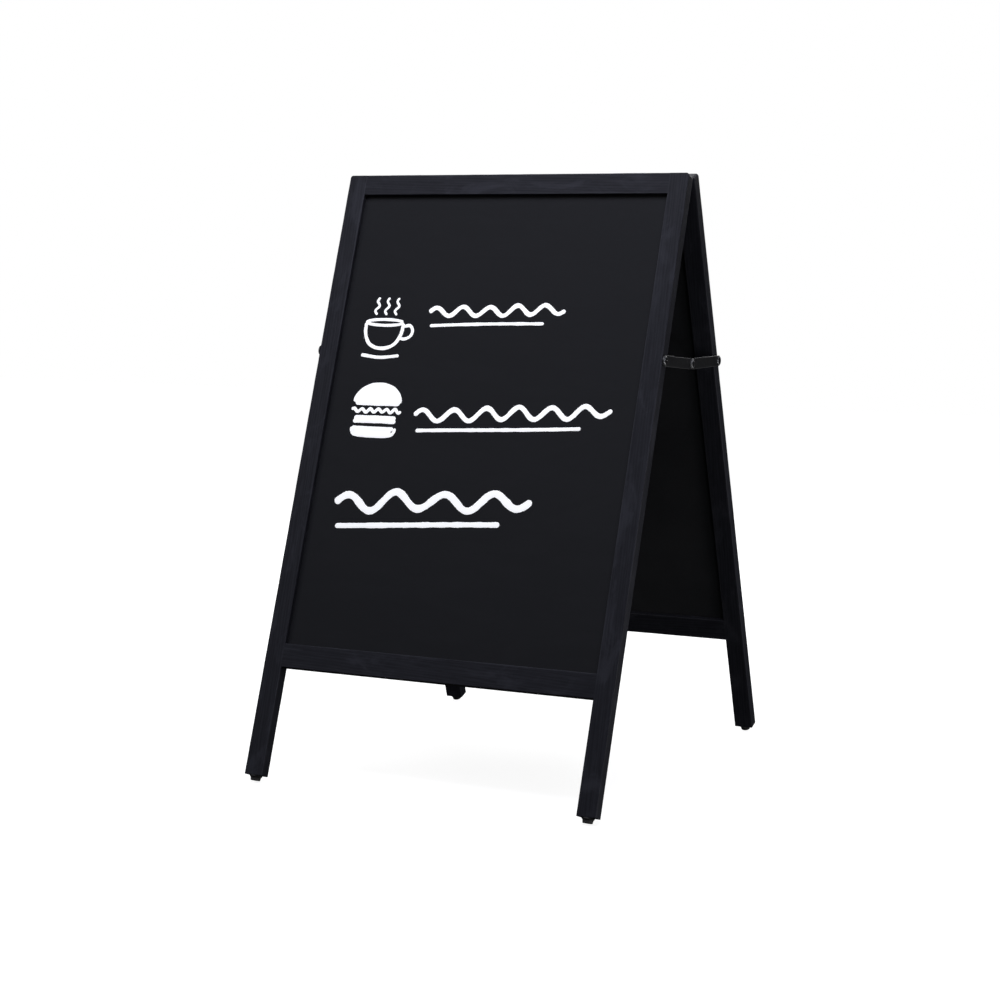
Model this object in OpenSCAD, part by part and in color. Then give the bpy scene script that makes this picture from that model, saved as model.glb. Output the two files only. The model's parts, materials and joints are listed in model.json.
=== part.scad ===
// Folding A-frame chalkboard: two equal framed boards hinged along their top ends
// and held apart by a folding stay on each side. Stored standing open.
//
// A board is drawn hanging straight down from the hinge axis, which runs along X:
//   x  across the board
//   v  down the board from its top end, so z = -(axis_rise + v)
//   w  out through the board from its inner face, so y = -(axis_gap + w)
// front() and rear() then lean it out to its stance.

/* [Writing area] */
// Width of one writing sheet
sheet_w = 594; // [400:1:600]
// Height of one writing sheet
sheet_h = 841; // [560:1:850]
// Gap round the sheet inside its frame
sheet_margin = 0.5; // [0.2:0.1:2]
// Thickness of the steel writing sheet
sheet_t = 0.5; // [0.3:0.1:1]

/* [Frame] */
// Thickness of the frame timber
board_t = 22; // [20:1:26]
// Width of a stile
stile_w = 35; // [30:1:50]
// Height of the top rail
top_rail_h = 38; // [34:1:50]
// Height of the bottom rail
bottom_rail_h = 42; // [36:1:60]
// Length of leg below the bottom rail
leg_drop = 193; // [120:1:260]
// Radius of the rounded top corners
corner_r = 5; // [2:1:10]
// Thickness of the core panel
panel_t = 4; // [3:0.5:5]
// Depth of the groove that holds the core panel
groove_d = 6; // [4:0.5:8]
// Thickness of timber between the groove and the inner face
back_lip = 9; // [7:0.5:10]

/* [Stance] */
// Lean of each board from the vertical when open
tilt = 20; // [14:1:24]
// Distance from the hinge axis down to the top ends of the boards
axis_rise = 3.5; // [3.5:0.1:5]
// Distance from the hinge axis to the inner face of each board
axis_gap = 1.5; // [1:0.1:3]

/* [Stay] */
// Distance of the front stay pivots below the top ends
front_stay_v = 337; // [250:1:450]
// Distance of the rear stay pivots below the top ends
rear_stay_v = 348; // [250:1:450]
// Distance of the stay pivots from the inner face
stay_w = 13; // [8:1:14]
// Width of a stay link
link_w = 19; // [16:1:24]
// Thickness of a stay link
link_t = 1.8; // [1.5:0.1:2.5]
// Drop of the middle rivet below the line between the pivots when open
rivet_drop = 5.5; // [2:0.1:10]

/* [Feet] */
// Height of a foot
foot_h = 9; // [7:0.5:14]
// Radius of a foot against the leg
foot_top_r = 11; // [8:0.5:11]
// Radius of a foot at the floor
foot_r = 8.5; // [7:0.5:10]

/* [Hinges] */
// Distance of each hinge from the middle
hinge_x = 220; // [120:1:250]
// Length of a hinge
hinge_l = 60; // [50:1:80]
// Depth of a hinge leaf across the board
leaf_w = 18; // [15:1:19]
// Thickness of a hinge leaf
leaf_t = 1.5; // [1.2:0.1:2]
// Outer radius of the knuckles
knuckle_r = 3.2; // [2.8:0.1:3.2]
// Radius of the hinge pin
pin_r = 1.5; // [1:0.1:1.6]

/* [Hidden] */
$fn = 48;

// Sides of the easel, as the sign of x
LEFT = -1;
RIGHT = 1;

// Gap left round a shaft, screw or dowel in its hole
fit_gap = 0.05;
// Gap between faces that slide past each other
slide_gap = 0.3;
// Overlap that keeps a cut clear of the face it starts from
over = 1;

// Board outline
opening_w = sheet_w + 2 * sheet_margin;
opening_h = sheet_h + 2 * sheet_margin;
half_opening = opening_w / 2;
half_w = half_opening + stile_w;
rail_top_v = top_rail_h;
rail_bottom_v = top_rail_h + opening_h;
slope_l = rail_bottom_v + bottom_rail_h + leg_drop;
leg_x = half_w - stile_w / 2;

// Core panel and its groove
panel_gap = 0.1;
panel_reach = groove_d - 0.5;
panel_w0 = back_lip;
panel_w1 = back_lip + panel_t;

// Dowels
dowel_r = 3;
dowel_l = 40;
dowel_inset = 11;
dowel_hole = dowel_l / 2 + 0.5;

// Feet and their screws
foot_flare = 2.2;
foot_waist_r = 9.2;
foot_waist = 4;
foot_screw_r = 2;
foot_screw_head_r = 3.6;
foot_screw_head_t = 2.4;
foot_screw_seat = 5;
foot_screw_l = 20;
foot_sink_r = 4.2;

// Hinges
knuckles = 5;
knuckle_l = hinge_l / knuckles;
leaf_start = knuckle_r + slide_gap;
hinge_screw_pitch = 20;
hinge_screw_r = 1.5;
hinge_screw_head_r = 2.9;
hinge_screw_l = 14;
pin_head_r = 2.3;
pin_head_t = 0.8;

// Stay layers, outwards from the stile's side face
washer_t = 1.2;
washer_r = 7;
front_link_x0 = washer_t + fit_gap;
front_link_x1 = front_link_x0 + link_t;
rear_link_x0 = front_link_x1 + slide_gap;
rear_link_x1 = rear_link_x0 + link_t;
spacer_t = rear_link_x0 - fit_gap;
shoulder_r = 2.5;
stay_thread_r = 2;
stay_thread_l = 18;
stay_head_r = 8;
stay_head_t = 2.2;
rivet_head_r = 7.5;
rivet_head_t = 2.2;
rivet_tail_r = 5.5;
rivet_tail_t = 0.8;

// Stance: the lowest point of each foot stands on z = 0
foot_reach = axis_rise + slope_l + foot_h;
foot_low_w = axis_gap + board_t / 2 - foot_r;
axis_z = foot_reach * cos(tilt) - foot_low_w * sin(tilt);

// Stay: places as [y, z]. The rivet hangs a little below the line between the pivots,
// and the lower pivot has the longer link, so that both links fold up between the boards
function stay_pivot(v) = [
    (axis_rise + v) * sin(tilt) + (axis_gap + stay_w) * cos(tilt),
    axis_z - (axis_rise + v) * cos(tilt) + (axis_gap + stay_w) * sin(tilt)
];
front_pivot = [-stay_pivot(front_stay_v)[0], stay_pivot(front_stay_v)[1]];
rear_pivot = stay_pivot(rear_stay_v);
stay_span = norm(rear_pivot - front_pivot);
stay_run = (rear_pivot - front_pivot) / stay_span;
rivet_along = (stay_span + front_stay_v - rear_stay_v) / 2;
rivet = front_pivot + rivet_along * stay_run + rivet_drop * [stay_run[1], -stay_run[0]];

// ---- Placing ----

module front() {
    translate([0, 0, axis_z])
        rotate([-tilt, 0, 0])
            children();
}

module rear() {
    mirror([0, 1, 0])
        front()
            children();
}

// Turns something drawn for the right side to the given side
module on_side(side) {
    mirror([side == LEFT ? 1 : 0, 0, 0])
        children();
}

// A block of a board, from its x, v and w limits
module board_block(x0, x1, v0, v1, w0, w1) {
    translate([x0, -(axis_gap + w1), -(axis_rise + v1)])
        cube([x1 - x0, w1 - w0, v1 - v0]);
}

// Moves to a point of a board
module at_board(x, v, w) {
    translate([x, -(axis_gap + w), -(axis_rise + v)])
        children();
}

// A cylinder along X that starts at the origin
module rod_x(r, l) {
    rotate([0, 90, 0])
        cylinder(r = r, h = l);
}

// A disc on a shaft along X, with a chamfered rim on its outer side
module headed_x(r, t) {
    chamfer = t * 0.45;
    rotate([0, 90, 0]) {
        cylinder(r = r, h = t - chamfer);
        translate([0, 0, t - chamfer])
            cylinder(r1 = r, r2 = r - chamfer * 1.6, h = chamfer);
    }
}

// ---- Frame timbers ----

// Both dowel positions, down the board, for a rail that starts at v0
function dowel_rows(v0, h) = [v0 + dowel_inset, v0 + h - dowel_inset - 2];

module dowel_holes() {
    for (v = concat(dowel_rows(0, top_rail_h), dowel_rows(rail_bottom_v, bottom_rail_h)))
        at_board(half_opening - dowel_hole, v, board_t / 2)
            rod_x(dowel_r + fit_gap, 2 * dowel_hole);
}

// The ring-shaped groove that holds the core panel
module panel_groove() {
    board_block(-half_opening - groove_d, half_opening + groove_d,
                rail_top_v - groove_d, rail_bottom_v + groove_d,
                panel_w0 - panel_gap, panel_w1 + panel_gap);
}

// Outline of the right stile, seen from the front, from its foot end up
module stile_outline() {
    corner = [half_w - corner_r, slope_l - corner_r];
    arc = [for (a = [0:15:90]) corner + corner_r * [cos(a), sin(a)]];
    polygon(concat([[half_opening, 0], [half_w, 0]], arc, [[half_opening, slope_l]]));
}

module stile(side, stay_v) {
    color([0.13, 0.135, 0.15])
        on_side(side)
            difference() {
                at_board(0, slope_l, 0)
                    rotate([90, 0, 0])
                        linear_extrude(board_t)
                            stile_outline();
                panel_groove();
                dowel_holes();
                at_board(leg_x, slope_l + over, board_t / 2)
                    cylinder(r = foot_screw_r + fit_gap, h = foot_screw_l + over);
                at_board(half_w - stay_thread_l, stay_v, stay_w)
                    rod_x(stay_thread_r + fit_gap, stay_thread_l + over);
            }
}

module rail(v0, h) {
    color([0.12, 0.125, 0.14])
        difference() {
            board_block(-half_opening, half_opening, v0, v0 + h, 0, board_t);
            panel_groove();
            for (side = [LEFT, RIGHT])
                on_side(side)
                    dowel_holes();
            if (v0 == 0)
                hinge_screw_places()
                    translate([0, 0, -hinge_screw_l])
                        cylinder(r = hinge_screw_r + fit_gap, h = hinge_screw_l + over);
        }
}

module top_rail() {
    rail(0, top_rail_h);
}

module bottom_rail() {
    rail(rail_bottom_v, bottom_rail_h);
}

module dowels() {
    color("burlywood")
        for (side = [LEFT, RIGHT])
            on_side(side)
                for (v = concat(dowel_rows(0, top_rail_h),
                                dowel_rows(rail_bottom_v, bottom_rail_h)))
                    at_board(half_opening - dowel_l / 2, v, board_t / 2)
                        rod_x(dowel_r, dowel_l);
}

// ---- Board surfaces ----

module core_panel() {
    color([0.08, 0.08, 0.085])
        board_block(-half_opening - panel_reach, half_opening + panel_reach,
                    rail_top_v - panel_reach, rail_bottom_v + panel_reach,
                    panel_w0, panel_w1);
}

module writing_sheet() {
    color([0.14, 0.14, 0.155])
        board_block(-sheet_w / 2, sheet_w / 2,
                    rail_top_v + sheet_margin, rail_bottom_v - sheet_margin,
                    panel_w1, panel_w1 + sheet_t);
}

// ---- Feet ----

// A tapered rubber foot with a flared top and a sunk screw seat
module foot(side) {
    color([0.06, 0.06, 0.06])
        on_side(side)
            at_board(leg_x, slope_l, board_t / 2)
                rotate_extrude()
                    polygon([
                        [foot_screw_r + fit_gap, 0],
                        [foot_top_r, 0],
                        [foot_top_r, -foot_flare],
                        [foot_waist_r, -foot_waist],
                        [foot_r, -foot_h],
                        [foot_sink_r, -foot_h],
                        [foot_sink_r, -foot_screw_seat],
                        [foot_screw_r + fit_gap, -foot_screw_seat]
                    ]);
}

module foot_screws() {
    color("silver")
        for (side = [LEFT, RIGHT])
            on_side(side)
                at_board(leg_x, slope_l, board_t / 2)
                    translate([0, 0, -foot_screw_seat]) {
                        cylinder(r = foot_screw_r, h = foot_screw_seat + foot_screw_l - over);
                        translate([0, 0, -foot_screw_head_t])
                            cylinder(r = foot_screw_head_r, h = foot_screw_head_t);
                    }
}

// ---- Hinges ----

// Moves to the three screw places of each hinge, on the top end face
module hinge_screw_places(sides = [LEFT, RIGHT]) {
    for (side = sides)
        for (i = [-1:1])
            at_board(side * hinge_x + i * hinge_screw_pitch, 0, board_t / 2)
                children();
}

// The knuckles of one leaf: every other one, from the first given
module knuckle_row(first) {
    for (k = [first:2:knuckles - 1])
        translate([k * knuckle_l - hinge_l / 2 + slide_gap / 2, 0, 0]) {
            rod_x(knuckle_r, knuckle_l - slide_gap);
            translate([0, -leaf_start - leaf_t, -knuckle_r])
                cube([knuckle_l - slide_gap, leaf_start + leaf_t, leaf_t]);
        }
}

module hinge_leaf(side, first) {
    color([0.3, 0.3, 0.32])
        difference() {
            union() {
                translate([side * hinge_x, 0, 0])
                    knuckle_row(first);
                translate([side * hinge_x - hinge_l / 2, -(axis_gap + leaf_w), -axis_rise])
                    cube([hinge_l, axis_gap + leaf_w - leaf_start, leaf_t]);
            }
            translate([side * hinge_x - hinge_l / 2 - over, 0, 0])
                rod_x(pin_r + fit_gap, hinge_l + 2 * over);
            hinge_screw_places([side])
                translate([0, 0, -over]) {
                    cylinder(r = hinge_screw_r + fit_gap, h = leaf_t + 2 * over);
                    translate([0, 0, over])
                        cylinder(r1 = hinge_screw_r + fit_gap,
                                 r2 = hinge_screw_head_r + fit_gap, h = leaf_t + 0.001);
                }
        }
}

module hinge_screws() {
    color("silver")
        hinge_screw_places() {
            translate([0, 0, over - hinge_screw_l])
                cylinder(r = hinge_screw_r, h = hinge_screw_l - over);
            cylinder(r1 = hinge_screw_r, r2 = hinge_screw_head_r, h = leaf_t);
        }
}

module hinge_pin(side) {
    color("silver")
        translate([side * hinge_x - hinge_l / 2, 0, axis_z]) {
            rod_x(pin_r, hinge_l);
            translate([-pin_head_t, 0, 0])
                rod_x(pin_head_r, pin_head_t);
            translate([hinge_l, 0, 0])
                rod_x(pin_head_r, pin_head_t);
        }
}

// ---- Stays ----

// A ring on the stile's side face that spaces a link off it
module stay_ring(t, stay_v) {
    color([0.2, 0.2, 0.22])
        for (side = [LEFT, RIGHT])
            on_side(side)
                at_board(half_w, stay_v, stay_w)
                    difference() {
                        rod_x(washer_r, t);
                        translate([-over, 0, 0])
                            rod_x(shoulder_r + fit_gap, t + 2 * over);
                    }
}

// A shoulder screw: thread in the stile, shoulder through ring and link, low head
module stay_screws(shoulder_l, stay_v) {
    color([0.25, 0.25, 0.27])
        for (side = [LEFT, RIGHT])
            on_side(side)
                at_board(half_w, stay_v, stay_w) {
                    translate([over - stay_thread_l, 0, 0])
                        rod_x(stay_thread_r, stay_thread_l);
                    rod_x(shoulder_r, shoulder_l + over / 2);
                    translate([shoulder_l, 0, 0])
                        headed_x(stay_head_r, stay_head_t);
                }
}

// Outline of a link from its pivot at the origin along +x
module link_outline(reach) {
    r = link_w / 2;
    pivot_end = [for (a = [90:15:270]) r * [cos(a), sin(a)]];
    mid_end = [for (a = [-90:15:90]) [reach, 0] + r * [cos(a), sin(a)]];
    polygon(concat(pivot_end, mid_end));
}

// Moves to a pivot at the stile's side face, with x across and y towards the rivet
module at_pivot(pivot) {
    run = rivet - pivot;
    translate([half_w, pivot[0], pivot[1]])
        rotate([atan2(run[1], run[0]), 0, 0])
            children();
}

// A link from a pivot to the middle rivet, at a distance from the stile
module link(pivot, x0) {
    reach = norm(rivet - pivot);
    at_pivot(pivot)
        translate([x0, 0, 0])
            rotate([90, 0, 90])
                linear_extrude(link_t)
                    difference() {
                        link_outline(reach);
                        circle(r = shoulder_r + fit_gap);
                        translate([reach, 0])
                            circle(r = shoulder_r + fit_gap);
                    }
}

module front_link(side) {
    color([0.11, 0.115, 0.125])
        on_side(side)
            link(front_pivot, front_link_x0);
}

module rear_link(side) {
    color([0.11, 0.115, 0.125])
        on_side(side)
            link(rear_pivot, rear_link_x0);
}

// The outer half of the middle rivet, which stays with the rear link
module rivet_head(side) {
    color([0.22, 0.22, 0.24])
        on_side(side)
            at_pivot(rear_pivot)
                translate([rear_link_x0, norm(rivet - rear_pivot), 0]) {
                    rod_x(shoulder_r, link_t + rivet_head_t / 2);
                    translate([link_t, 0, 0])
                        headed_x(rivet_head_r, rivet_head_t);
                }
}

// The inner half of the middle rivet, which stays with the front link
module rivet_tail(side) {
    color([0.22, 0.22, 0.24])
        on_side(side)
            at_pivot(front_pivot)
                translate([front_link_x0, norm(rivet - front_pivot), 0]) {
                    rod_x(shoulder_r, link_t);
                    translate([-rivet_tail_t, 0, 0])
                        rod_x(rivet_tail_r, rivet_tail_t);
                }
}

// ---- Parts ----

front() stile(LEFT, front_stay_v);  // front_left_stile
front() stile(RIGHT, front_stay_v);  // front_right_stile
front() top_rail();  // front_top_rail
front() bottom_rail();  // front_bottom_rail
front() dowels();  // front_dowels
front() core_panel();  // front_core_panel
front() writing_sheet();  // front_writing_sheet
front() foot(LEFT);  // front_left_foot
front() foot(RIGHT);  // front_right_foot
front() foot_screws();  // front_foot_screws
front() hinge_leaf(LEFT, 0);  // front_hinge_leaf_left
front() hinge_leaf(RIGHT, 0);  // front_hinge_leaf_right
front() hinge_screws();  // front_hinge_screws
front() stay_ring(washer_t, front_stay_v);  // front_stay_washers
front() stay_screws(front_link_x1 + fit_gap, front_stay_v);  // front_stay_screws
hinge_pin(LEFT);  // hinge_pin_left
hinge_pin(RIGHT);  // hinge_pin_right
rear() stile(LEFT, rear_stay_v);  // rear_left_stile
rear() stile(RIGHT, rear_stay_v);  // rear_right_stile
rear() top_rail();  // rear_top_rail
rear() bottom_rail();  // rear_bottom_rail
rear() dowels();  // rear_dowels
rear() core_panel();  // rear_core_panel
rear() writing_sheet();  // rear_writing_sheet
rear() foot(LEFT);  // rear_left_foot
rear() foot(RIGHT);  // rear_right_foot
rear() foot_screws();  // rear_foot_screws
rear() hinge_leaf(LEFT, 1);  // rear_hinge_leaf_left
rear() hinge_leaf(RIGHT, 1);  // rear_hinge_leaf_right
rear() hinge_screws();  // rear_hinge_screws
rear() stay_ring(spacer_t, rear_stay_v);  // rear_stay_spacers
rear() stay_screws(rear_link_x1 + fit_gap, rear_stay_v);  // rear_stay_screws
front_link(LEFT);  // left_stay_front_link
rear_link(LEFT);  // left_stay_rear_link
rivet_head(LEFT);  // left_stay_rivet_head
rivet_tail(LEFT);  // left_stay_rivet_tail
front_link(RIGHT);  // right_stay_front_link
rear_link(RIGHT);  // right_stay_rear_link
rivet_head(RIGHT);  // right_stay_rivet_head
rivet_tail(RIGHT);  // right_stay_rivet_tail
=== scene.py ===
"""Looks for the folding chalkboard easel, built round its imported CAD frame. Lengths are in metres.

Each board has its own frame, with its origin on the hinge axis: X across the board, Z up the
board, and -Y out through its writing face. The rear board's frame is the front one's, turned
half a turn about the vertical.
"""

import json
import math
import random

import bmesh
import bpy
from mathutils import Matrix, Vector, noise
from mathutils.geometry import tessellate_polygon


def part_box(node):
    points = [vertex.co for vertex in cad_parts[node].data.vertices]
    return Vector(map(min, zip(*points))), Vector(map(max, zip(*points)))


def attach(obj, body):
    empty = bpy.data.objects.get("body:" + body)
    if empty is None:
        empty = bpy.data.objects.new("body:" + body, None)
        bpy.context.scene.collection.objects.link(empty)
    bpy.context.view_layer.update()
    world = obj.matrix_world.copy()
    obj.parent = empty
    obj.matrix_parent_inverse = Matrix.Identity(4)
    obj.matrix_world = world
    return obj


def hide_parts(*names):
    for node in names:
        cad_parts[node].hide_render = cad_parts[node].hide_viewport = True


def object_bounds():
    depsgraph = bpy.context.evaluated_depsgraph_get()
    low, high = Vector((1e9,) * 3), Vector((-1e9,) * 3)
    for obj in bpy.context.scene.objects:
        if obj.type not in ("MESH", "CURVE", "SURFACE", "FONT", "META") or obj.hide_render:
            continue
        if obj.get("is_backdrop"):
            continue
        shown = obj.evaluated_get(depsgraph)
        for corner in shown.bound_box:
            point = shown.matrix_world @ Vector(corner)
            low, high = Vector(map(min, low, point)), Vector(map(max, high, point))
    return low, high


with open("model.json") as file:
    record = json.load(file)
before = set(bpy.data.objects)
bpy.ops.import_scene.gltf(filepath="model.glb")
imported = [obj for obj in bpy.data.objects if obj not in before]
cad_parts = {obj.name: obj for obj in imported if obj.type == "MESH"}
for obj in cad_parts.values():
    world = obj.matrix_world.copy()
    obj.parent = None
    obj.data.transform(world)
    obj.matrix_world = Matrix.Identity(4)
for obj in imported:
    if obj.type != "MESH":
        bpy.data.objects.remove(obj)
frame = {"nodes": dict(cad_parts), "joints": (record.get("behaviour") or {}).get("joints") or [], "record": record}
cad_low, cad_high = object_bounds()
scene = bpy.context.scene
MM = 0.001

# ---- the frame's own measures

JOINTS = {j["name"]: j for j in frame["joints"]}
MOUNTS = {m["name"]: m for m in frame["record"]["mounts"]}
HINGE_AXIS = Vector(JOINTS["fold"]["pos_m"])
FACE_NORMAL = Vector(MOUNTS["front_writing_face"]["axis"])
TILT = math.atan2(FACE_NORMAL.z, -FACE_NORMAL.y)

FRONT = Matrix.Translation(HINGE_AXIS) @ Matrix.Rotation(-TILT, 4, "X")
REAR = Matrix.Rotation(math.pi, 4, "Z") @ FRONT
BOARDS = {"front": FRONT, "rear": REAR}
BODIES = {"front": "front_frame", "rear": "rear_frame"}


def box_of(points):
    """Lowest and highest corner of some points."""
    low = Vector([min(p[i] for p in points) for i in range(3)])
    high = Vector([max(p[i] for p in points) for i in range(3)])
    return low, high


def box_in(node, matrix):
    """The box of a CAD node, in the frame that matrix places."""
    back = matrix.inverted()
    return box_of([back @ vert.co for vert in frame["nodes"][node].data.vertices])


STILE_LOW, STILE_HIGH = box_in("front_right_stile", FRONT)
RAIL_LOW, RAIL_HIGH = box_in("front_top_rail", FRONT)
BASE_LOW, BASE_HIGH = box_in("front_bottom_rail", FRONT)
SHEET_LOW, SHEET_HIGH = box_in("front_writing_sheet", FRONT)
PANEL_LOW, PANEL_HIGH = box_in("front_core_panel", FRONT)
FOOT_LOW, FOOT_HIGH = box_in("front_right_foot", FRONT)

INNER_Y = STILE_HIGH.y  # the faces that meet when the easel is folded
OUTER_Y = STILE_LOW.y  # the face round the writing sheet
BOARD_T = INNER_Y - OUTER_Y
HALF_OPENING = STILE_LOW.x
STILE_W = STILE_HIGH.x - STILE_LOW.x
OPENING_TOP = RAIL_LOW.z
OPENING_BOTTOM = BASE_HIGH.z
GROOVE_GAP = 0.1 * MM  # play of the core panel across its groove
GROOVE_PLAY = 0.5 * MM  # room past the core panel's edge
GROOVE = (INNER_Y - PANEL_HIGH.y - GROOVE_GAP, INNER_Y - PANEL_LOW.y + GROOVE_GAP)
GROOVE_D = PANEL_HIGH.x - HALF_OPENING + GROOVE_PLAY

# ---- mesh making

WELD = 1e-6  # points nearer than this are one point
PLATE_GUARD = 0.8 * MM  # width of the flat strip kept beside a plate's arris
PLATE_ARRIS_STEPS = 3
CREASE_DEG = 38  # edges sharper than this stay sharp in smooth shading


def finish_mesh(name, bm, sharp_deg=CREASE_DEG):
    """Merges doubled points, turns the faces outwards and sets smooth shading with sharp creases."""
    bmesh.ops.remove_doubles(bm, verts=bm.verts, dist=WELD)
    bmesh.ops.dissolve_degenerate(bm, edges=bm.edges, dist=WELD)
    bmesh.ops.recalc_face_normals(bm, faces=bm.faces)
    for face in bm.faces:
        face.smooth = True
    mesh = to_mesh(name, bm)
    mesh.set_sharp_from_angle(angle=math.radians(sharp_deg))
    return mesh


def join_rings(bm, a, b):
    """Quads between two closed rings of points."""
    for i in range(len(a)):
        j = (i + 1) % len(a)
        bm.faces.new((a[i], a[j], b[j], b[i]))


def add_loft(bm, rings, edge_values=None, attribute="edge"):
    """Joins closed rings of points and caps both ends. edge_values gives one number a point."""
    layer = bm.verts.layers.float.get(attribute) or bm.verts.layers.float.new(attribute)
    made = []
    for ring in rings:
        made.append([bm.verts.new(p) for p in ring])
        if edge_values:
            for vert, value in zip(made[-1], edge_values):
                vert[layer] = value
    for a, b in zip(made, made[1:]):
        join_rings(bm, a, b)
    bm.faces.new(list(reversed(made[0])))
    bm.faces.new(made[-1])


def add_lathe(bm, profile, segments):
    """Turns (radius, height) points about Z. Points at radius 0 close the ends."""
    rings = []
    for radius, height in profile:
        ring = []
        for i in range(segments):
            angle = 2 * math.pi * i / segments
            ring.append(bm.verts.new((radius * math.cos(angle), radius * math.sin(angle), height)))
        rings.append(ring)
    for a, b in zip(rings, rings[1:]):
        join_rings(bm, a, b)
    return rings


def arc(centre, radius, start_deg, end_deg, steps, radius_y=None):
    """Points of a circular or elliptical arc, both ends included."""
    points = []
    for i in range(steps + 1):
        angle = math.radians(start_deg + (end_deg - start_deg) * i / steps)
        rise = (radius_y or radius) * math.sin(angle)
        points.append((centre[0] + radius * math.cos(angle), centre[1] + rise))
    return points


def add_plate(bm, outline, holes, thickness, arris, place):
    """A flat plate with rounded arrises.

    outline and holes are functions from an inset to a list of (x, y)."""
    lower = [(0.0, arris + PLATE_GUARD)]
    for i in range(PLATE_ARRIS_STEPS + 1):
        angle = math.radians(90 * i / PLATE_ARRIS_STEPS)
        lower.append((arris * (1 - math.cos(angle)), arris * (1 - math.sin(angle))))
    upper = [(thickness - height, inset) for height, inset in reversed(lower)]
    bottom_rings, top_rings = [], []
    for loop in [outline, *holes]:
        rings = []
        for height, inset in lower + upper:
            rings.append([bm.verts.new(place @ Vector((x, y, height))) for x, y in loop(inset)])
        for a, b in zip(rings, rings[1:]):
            join_rings(bm, a, b)
        bottom_rings.append(rings[0])
        top_rings.append(rings[-1])
    back = place.inverted()
    for rings in (bottom_rings, top_rings):
        flat = [vert for ring in rings for vert in ring]
        outlines = []
        for ring in rings:
            spots = [back @ vert.co for vert in ring]
            outlines.append([Vector((spot.x, spot.y, 0)) for spot in spots])
        for triangle in tessellate_polygon(outlines):
            if len(set(triangle)) == 3:
                bm.faces.new([flat[i] for i in triangle])


def add_object(name, data):
    """Adds an object to the scene."""
    obj = bpy.data.objects.new(name, data)
    scene.collection.objects.link(obj)
    return obj


def to_mesh(name, bm):
    """Turns a finished bmesh into a mesh."""
    mesh = bpy.data.meshes.new(name)
    bm.to_mesh(mesh)
    bm.free()
    return mesh


def place_piece(name, mesh, matrix, body, material, nodes=()):
    """Puts a finished mesh in the row frame as a piece that rides on a body and replaces its nodes."""
    mesh.materials.append(material)
    obj = add_object(name, mesh)
    obj.matrix_world = matrix
    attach(obj, body)
    if nodes:
        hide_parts(*nodes)
    return obj


def keep_flats_flat(obj):
    """Weights the normals by face area, so that rounded arrises don't shade the flats beside them."""
    modifier = obj.modifiers.new("weighted_normals", "WEIGHTED_NORMAL")
    modifier.keep_sharp = True


# ---- materials


class Paint:
    """A material's node tree, with short calls for the nodes that the finishes share."""

    def __init__(self, name):
        self.material = bpy.data.materials.new(name)
        self.material.use_nodes = True
        self.tree = self.material.node_tree
        self.shader = self.tree.nodes["Principled BSDF"]
        self.coords = self.tree.nodes.new("ShaderNodeTexCoord").outputs["Object"]

    def node(self, kind, settings=(), **inputs):
        """Adds a node, sets its properties from settings, and sets or links its named inputs."""
        made = self.tree.nodes.new(kind)
        for key, value in dict(settings).items():
            setattr(made, key, value)
        for key, value in inputs.items():
            self.put(made.inputs[key.replace("_", " ")], value)
        return made

    def put(self, socket, value):
        """Links a socket to another one, or sets its value."""
        if isinstance(value, bpy.types.NodeSocket):
            self.tree.links.new(value, socket)
        else:
            socket.default_value = value

    def mapped(self, scale=(1, 1, 1), offset=(0, 0, 0), turn=(0, 0, 0)):
        """The object's own coordinates, scaled, shifted and turned."""
        made = self.node("ShaderNodeMapping", Vector=self.coords, Location=offset, Rotation=turn,
                         Scale=scale)
        return made.outputs["Vector"]

    def noise(self, vector, scale, detail=4.0, roughness=0.55, distortion=0.0):
        """Cloudy noise, from 0 to 1."""
        made = self.node("ShaderNodeTexNoise", Vector=vector, Scale=scale, Detail=detail,
                         Roughness=roughness, Distortion=distortion)
        return made.outputs["Fac"]

    def remap(self, value, low, high, to_low=0.0, to_high=1.0):
        """Moves value smoothly from one range to another, and holds it there."""
        made = self.node("ShaderNodeMapRange", [("interpolation_type", "SMOOTHSTEP")])
        for index, item in enumerate((value, low, high, to_low, to_high)):
            self.put(made.inputs[index], item)
        return made.outputs[0]

    def math(self, operation, a, b):
        made = self.node("ShaderNodeMath", [("operation", operation)])
        self.put(made.inputs[0], a)
        self.put(made.inputs[1], b)
        return made.outputs[0]

    def plus(self, a, b):
        return self.math("ADD", a, b)

    def times(self, a, b):
        return self.math("MULTIPLY", a, b)

    def mix(self, amount, a, b):
        """Colour a turning into colour b as amount rises."""
        made = self.node("ShaderNodeMix", [("data_type", "RGBA")])
        self.put(made.inputs[0], amount)
        self.put(made.inputs[6], a if isinstance(a, bpy.types.NodeSocket) else (*a, 1.0))
        self.put(made.inputs[7], b if isinstance(b, bpy.types.NodeSocket) else (*b, 1.0))
        return made.outputs[2]

    def bump(self, height, strength, distance, normal=None):
        """A normal from a height, on top of another normal if one is given."""
        made = self.node("ShaderNodeBump", Height=height, Strength=strength, Distance=distance)
        if normal:
            self.tree.links.new(normal, made.inputs["Normal"])
        return made.outputs["Normal"]

    def edge(self, name="edge"):
        """A number that the mesh carries at its points, high along its rubbed edges; round the rims of the stay's
        screw heads and rivets it also marks a painted highlight.
        """
        return self.node("ShaderNodeAttribute", [("attribute_name", name)]).outputs["Fac"]

    def finish(self, color, roughness, normal, specular=0.5, metallic=0.0):
        """Fills in the shader and gives back the material."""
        for key, value in (("Base Color", color), ("Roughness", roughness), ("Normal", normal)):
            self.put(self.shader.inputs[key], value)
        self.shader.inputs["Specular IOR Level"].default_value = specular
        self.shader.inputs["Metallic"].default_value = metallic
        return self.material


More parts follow.
